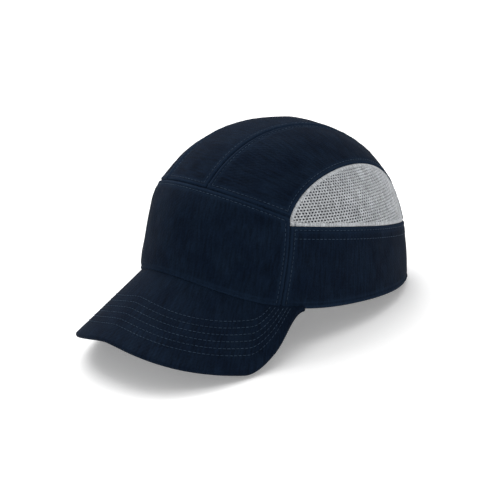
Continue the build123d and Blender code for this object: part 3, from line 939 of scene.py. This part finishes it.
build_vents()

# ------------------------------------------------------------------ tapes, facing, binding and strap
def thin_piece(name, rows, thickness, material, slot, body="cover"):
    """A strip of cloth or tape from rows of points, given its thickness inwards."""
    obj = grid_object(name, rows)
    face_outwards(obj)
    thicken(obj, thickness)
    finish_piece(obj, material, body, name, slot=slot)


def tape_rows(line, half, inset):
    """Rows of a tape lying over a seam inside the crown, a little raised along its middle."""
    offsets = np.linspace(-half, half, 9)
    lift = -inset + 0.25 * np.cos(offsets / half * pi / 2) - 0.1
    return strip_grid(line, offsets, lift)


def wall_rows(x_from, x_to, low, high, inset, across=60, up=12, wave=None):
    """Rows of points on the rear wall between two places across the cap and two heights."""
    x = np.linspace(x_from, x_to, across)
    rows = []
    for share in np.linspace(0, 1, up):
        z = np.full(across, low + (high - low) * share)
        here = inset if wave is None else wave(x)
        depth = np.sqrt(np.clip(level(z, here) ** 2 - (x / (HALF_WIDTH - here)) ** 2, 0, None))
        rows.append(np.stack([x, (HALF_LENGTH - here) * depth + LEAN * z, z], -1))
    return np.stack(rows)


TAPE_HALF, TAPE_INSET = 7.0, 1.25
STRAP_LOW, STRAP_HIGH = 0.8, 18.8
STRAP_SEWN, STRAP_LAP = 60.0, 13.5
STRAP_ROOT = 33.4
TAB_INSET, LOOP_PATCH_INSET, HOOK_PATCH_INSET, HOOK_TAB_INSET = 1.75, 1.15, 0.25, -1.1


def build_inner_tapes():
    pieces = []
    for name, side in SIDES:
        edge = side["strip_edge"]
        over_crown = tape_rows(edge[edge[:, 1] < 84], TAPE_HALF, TAPE_INSET)
        pieces.append(grid_object("strip_tape_" + name, over_crown))
        face_outwards(pieces[-1])
        arc = tape_rows(trimmed(side["vent_arc"], 8, 8), TAPE_HALF, TAPE_INSET)
        thin_piece("vent_tape_" + name, arc, 0.5, tape_cloth, "binding_tape")
    tapes = join_objects(pieces, "strip_seam_tapes")
    thicken(tapes, 0.5)
    finish_piece(tapes, tape_cloth, "cover", "strip_seam_tapes", slot="binding_tape")
    clear = STRAP_SEWN + 0.3
    depth = sqrt(1 - (clear / HALF_WIDTH) ** 2)
    rear = atan2(depth, clear / HALF_WIDTH)
    angles = np.linspace(rear, -pi - rear, 300)
    rows = []
    for lift, inset in zip((0.1, 0.6, 3, 6, 9, 12, 12.8), (0.75, 1.25, 1.4, 1.3, 1.35, 1.3, 1.3)):
        line = at_angle(angles, lambda y: rim_height(y) + lift)
        rows.append(line - crown_normal(line) * inset)
    thin_piece("rim_facing", np.stack(rows), 0.6, tape_cloth, "binding_tape")


def build_binding():
    """Tape folded over the edge of the half-moon opening, in one piece from end to end."""
    arch = joined(lines["arch"], right_lines["arch"][-2::-1])
    offsets = (-4.4, -4.0, -2.2, -0.5, 0.25, 0.5, 0.25, -0.5, -2.2, -4.0, -4.4)
    lifts = (0.1, 0.42, 0.5, 0.42, 0.1, -0.6, -1.3, -1.6, -1.66, -1.6, -1.35)
    rows = strip_grid(arch, offsets, lifts)
    thin_piece("rear_opening_binding", rows, 0.3, tape_cloth, "binding_tape")
    stitch_mesh("binding_stitches", [beside(trimmed(arch, 1, 1), -3.3)], lift=0.45)


def tab_stitches(name, places, inset, body):
    """Rows of stitches across the strap, one at each place given."""
    rows = []
    for x in places:
        line = wall_rows(x, x + 0.01, STRAP_LOW + 1.5, STRAP_HIGH - 1.5, inset, 2, 20)[:, 0]
        rows.append((line, crown_normal(line)))
    stitch_mesh(name, rows, body=body, lift=0.1)


def build_strap():
    low, high = STRAP_LOW, STRAP_HIGH
    loop = wall_rows(-STRAP_LAP, STRAP_SEWN, low, high, TAB_INSET, 90)
    thin_piece("loop_tab", loop, 1.2, webbing, "strap_webbing")
    patch = wall_rows(-STRAP_LAP, STRAP_ROOT, low + 1.5, high - 1.5, LOOP_PATCH_INSET, 70)
    thin_piece("loop_patch", patch, 0.5, pile, "loop_pile")

    def sweep(x):
        """Depth of the hook tab: from inside the band out through the opening, then flat."""
        share = ease((x + STRAP_ROOT + 6) / 6)
        return TAB_INSET + (HOOK_TAB_INSET - TAB_INSET) * share

    hook = wall_rows(-STRAP_SEWN, STRAP_LAP, low, high, 0, 110, wave=sweep)
    tab = grid_object("hook_tab", hook)
    face_outwards(tab)
    thicken(tab, 1.2)
    tab.data.materials.clear()
    tab.data.materials.append(webbing)
    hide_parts("hook_tab", "hook_tab_anchor")
    ends = wall_rows(-STRAP_ROOT - 4, -STRAP_ROOT + 2, 9.8, 9.9, 0, 2, 2)[0]
    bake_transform(tab)
    patch = wall_rows(-STRAP_LAP + 1.5, STRAP_LAP - 1.5, low + 1.5, high - 1.5, HOOK_PATCH_INSET, 40)
    thin_piece("hook_patch", patch, 0.5, hooks, "hook_tape", "strap")
    tab_stitches("hook_tab_stitches", (STRAP_LAP - 1.6, -STRAP_LAP + 1.6), HOOK_TAB_INSET, "strap")


LABEL_MIDDLE, LABEL_HALF_ANGLE = radians(132), 0.172
LABEL_LOW, LABEL_HIGH = 22.0, 44.0


def build_label():
    """A blank satin label on the inside of the rear band."""
    angles = np.linspace(LABEL_MIDDLE - LABEL_HALF_ANGLE, LABEL_MIDDLE + LABEL_HALF_ANGLE, 30)
    rows = []
    for z in np.linspace(LABEL_LOW, LABEL_HIGH, 16):
        line = at_angle(angles, lambda y: np.full(np.shape(y), z))
        rows.append(line - crown_normal(line) * 1.3)
    thin_piece("care_label", np.stack(rows), 0.2, label_cloth, "label_satin")


build_inner_tapes()
build_binding()
build_strap()
build_label()


# ------------------------------------------------------------------ shell, pads and sweatband
FACETS_ROUND, FACETS_UP, LOWEST_RING = 44, 13, -3.0


def facet_reach(p):
    """How far out points are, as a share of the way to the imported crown's small flat faces."""
    turn = np.arange(1, FACETS_UP + 1) / FACETS_UP * pi / 2
    z = np.r_[LOWEST_RING / HEIGHT, np.sin(turn) ** (2 / TOP_POWER)]
    r = np.r_[1, np.clip(np.cos(turn), 0, None) ** (2 / SIDE_POWER)]
    across = r * cos(pi / FACETS_ROUND)
    out, up = z[1:] - z[:-1], across[:-1] - across[1:]
    away = across[:-1] * out + z[:-1] * up
    pitch = 2 * pi / FACETS_ROUND
    angle = np.arctan2(p[:, 1], p[:, 0])
    middle = np.round(angle / pitch) * pitch
    flat = np.hypot(p[:, 0], p[:, 1]) * np.cos(angle - middle)
    return ((flat[:, None] * out + p[:, 2:3] * up) / away).max(1)


def smooth_reach(p):
    low, high = np.full(len(p), 0.2), np.full(len(p), 1.6)
    for _ in range(30):
        k = (low + high) / 2
        across, up = np.hypot(p[:, 0], p[:, 1]) / k, np.clip(p[:, 2], 0, None) / k
        outside = across**SIDE_POWER + up**TOP_POWER > 1
        low, high = np.where(outside, k, low), np.where(outside, high, k)
    return (low + high) / 2


def rounded_copy(node, name, longest):
    """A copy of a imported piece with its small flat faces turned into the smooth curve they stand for."""
    obj = frame["nodes"][node].copy()
    obj.data = obj.data.copy()
    obj.name = obj.data.name = name
    bpy.context.collection.objects.link(obj)
    obj.parent = None
    obj.matrix_world = frame["nodes"][node].matrix_world
    obj.data.transform(obj.matrix_world)
    obj.matrix_world = Matrix.Identity(4)
    obj.hide_render = obj.hide_viewport = False
    shape_mesh = bmesh.new()
    shape_mesh.from_mesh(obj.data)
    bmesh.ops.remove_doubles(shape_mesh, verts=shape_mesh.verts, dist=0.00002)
    bmesh.ops.triangulate(shape_mesh, faces=shape_mesh.faces)
    for _ in range(6):
        long_edges = [e for e in shape_mesh.edges if e.calc_length() > longest / 1000]
        if not long_edges:
            break
        bmesh.ops.subdivide_edges(shape_mesh, edges=long_edges, cuts=1)
        bmesh.ops.triangulate(shape_mesh, faces=shape_mesh.faces, quad_method="BEAUTY")
    shape_mesh.to_mesh(obj.data)
    shape_mesh.free()
    points = to_cap(np.array([v.co[:] for v in obj.data.vertices]))
    upright = points - np.outer(points[:, 2], [0, LEAN, 0])
    unit = upright / [HALF_WIDTH, HALF_LENGTH, HEIGHT]
    grow = facet_reach(unit) / smooth_reach(unit)
    upright = upright * grow[:, None]
    points = upright + np.outer(upright[:, 2], [0, LEAN, 0])
    obj.data.vertices.foreach_set("co", to_scene(points).ravel())
    obj.data.update()
    return obj


PAD_PRESSURE, PRESSURE_FRAMES = 4.0, 20


def inflate(obj, most):
    """Swells a pad under a little air pressure, no point by more than most (metres)."""
    rest = np.array([v.co[:] for v in obj.data.vertices])
    select_only(obj)
    modifier = obj.modifiers.new("cloth", "CLOTH")
    modifier.settings.use_pressure = True
    modifier.settings.uniform_pressure_force = PAD_PRESSURE
    modifier.settings.effector_weights.gravity = 0
    scene = bpy.context.scene
    for number in range(1, PRESSURE_FRAMES + 1):
        scene.frame_set(number)
    puffed = obj.evaluated_get(bpy.context.evaluated_depsgraph_get()).data
    moved = np.array([v.co[:] for v in puffed.vertices]) - rest
    obj.modifiers.remove(modifier)
    far = np.linalg.norm(moved, axis=1, keepdims=True)
    moved *= np.minimum(1, most / np.maximum(far, 1e-9))
    obj.data.vertices.foreach_set("co", (rest + moved).ravel())
    obj.data.update()
    scene.frame_set(1)


def soft_piece(node, material, slot, voxel, most):
    obj = rounded_copy(node, node + "_soft", 6.0)
    apply_modifier(obj, "REMESH", mode="VOXEL", voxel_size=voxel / 1000)
    apply_modifier(obj, "SMOOTH", factor=0.5, iterations=4)
    inflate(obj, most / 1000)
    apply_modifier(obj, "SUBSURF", levels=1)
    smooth(obj)
    finish_piece(obj, material, "insert", node, slot=slot)


def build_insert():
    shell = rounded_copy("hard_shell", "hard_shell_rounded", 4.0)
    select_only(shell)
    bpy.ops.object.shade_smooth_by_angle(angle=radians(40))
    finish_piece(shell, shell_plastic, "insert", "hard_shell", slot="shell_plastic")
    for node in ("crown_pad", "front_pad", "rear_pad", "side_pad_left", "side_pad_right"):
        soft_piece(node, foam, "liner_foam", 2.0, 0.5)
    soft_piece("brow_band_sleeve", terry, "sweatband_terry", 1.4, 0.5)
    plain = (("brow_band_core", foam), ("band_studs", shell_plastic), ("peak_board", board_plastic))
    for node, material in plain:
        cad = frame["nodes"][node]
        cad.data.materials.clear()
        cad.data.materials.append(material)


build_insert()


# ------------------------------------------------------------------ stage, light and camera
def build_stage():
    bpy.ops.object.select_all(action="DESELECT")
    bpy.ops.mesh.primitive_plane_add(size=14, location=(0, 0, 0))
    floor = bpy.context.active_object
    floor.name = "floor"
    m, tree, shader = new_material("pale_floor", (0.93, 0.93, 0.93), 0.75)
    shader.inputs["Emission Color"].default_value = (1, 1, 1, 1)
    shader.inputs["Emission Strength"].default_value = 0.25
    floor.data.materials.append(m)
    world = bpy.data.worlds.new("studio")
    bpy.context.scene.world = world
    world.use_nodes = True
    world.node_tree.nodes["Background"].inputs[0].default_value = (1, 1, 1, 1)
    world.node_tree.nodes["Background"].inputs[1].default_value = 0.42


def area_light(name, place, aim, size, power):
    light = bpy.data.lights.new(name, "AREA")
    light.shape = "RECTANGLE"
    light.size, light.size_y = size
    light.energy = power
    obj = bpy.data.objects.new(name, light)
    bpy.context.collection.objects.link(obj)
    obj.location = place
    obj.rotation_euler = (Vector(aim) - Vector(place)).to_track_quat("-Z", "Y").to_euler()


VIEW_TURN, VIEW_RISE, VIEW_TIP = radians(50.63), radians(12.99), radians(-0.31)
CAMERA_DISTANCE = 1.6
LENS = 150.0
FRAME_SHIFT = (-0.0549, 0.0658)


def build_camera():
    right = np.array([cos(VIEW_TURN), sin(VIEW_TURN), 0])
    up = np.array([-sin(VIEW_TURN) * sin(VIEW_RISE), cos(VIEW_TURN) * sin(VIEW_RISE), cos(VIEW_RISE)])
    back = np.cross(right, up)
    angle = TIP - VIEW_TIP
    c, s = cos(angle), sin(angle)
    swing = np.array([[1, 0, 0], [0, c, s], [0, -s, c]])
    axes = [swing @ v for v in (right, up, back)]
    place = SHIFT + axes[2] * CAMERA_DISTANCE
    data = bpy.data.cameras.new("camera")
    data.lens = LENS
    data.sensor_width = 36
    data.clip_start = 0.05
    data.shift_x, data.shift_y = FRAME_SHIFT
    camera = bpy.data.objects.new("camera", data)
    bpy.context.collection.objects.link(camera)
    turn = Matrix([[axes[j][i] for j in range(3)] for i in range(3)])
    camera.matrix_world = Matrix.Translation(Vector(place)) @ turn.to_4x4()
    bpy.context.scene.camera = camera


build_stage()
area_light("key", (-1.5, 0.5, 1.9), (0, 0, 0.08), (1.8, 1.8), 44)
area_light("top", (0.1, 0.2, 2.2), (0, 0, 0.05), (2.4, 2.4), 22)
area_light("fill", (1.2, -1.8, 0.9), (0, 0, 0.08), (1.6, 1.6), 3)
build_camera()
bpy.context.scene.view_settings.view_transform = "Standard"
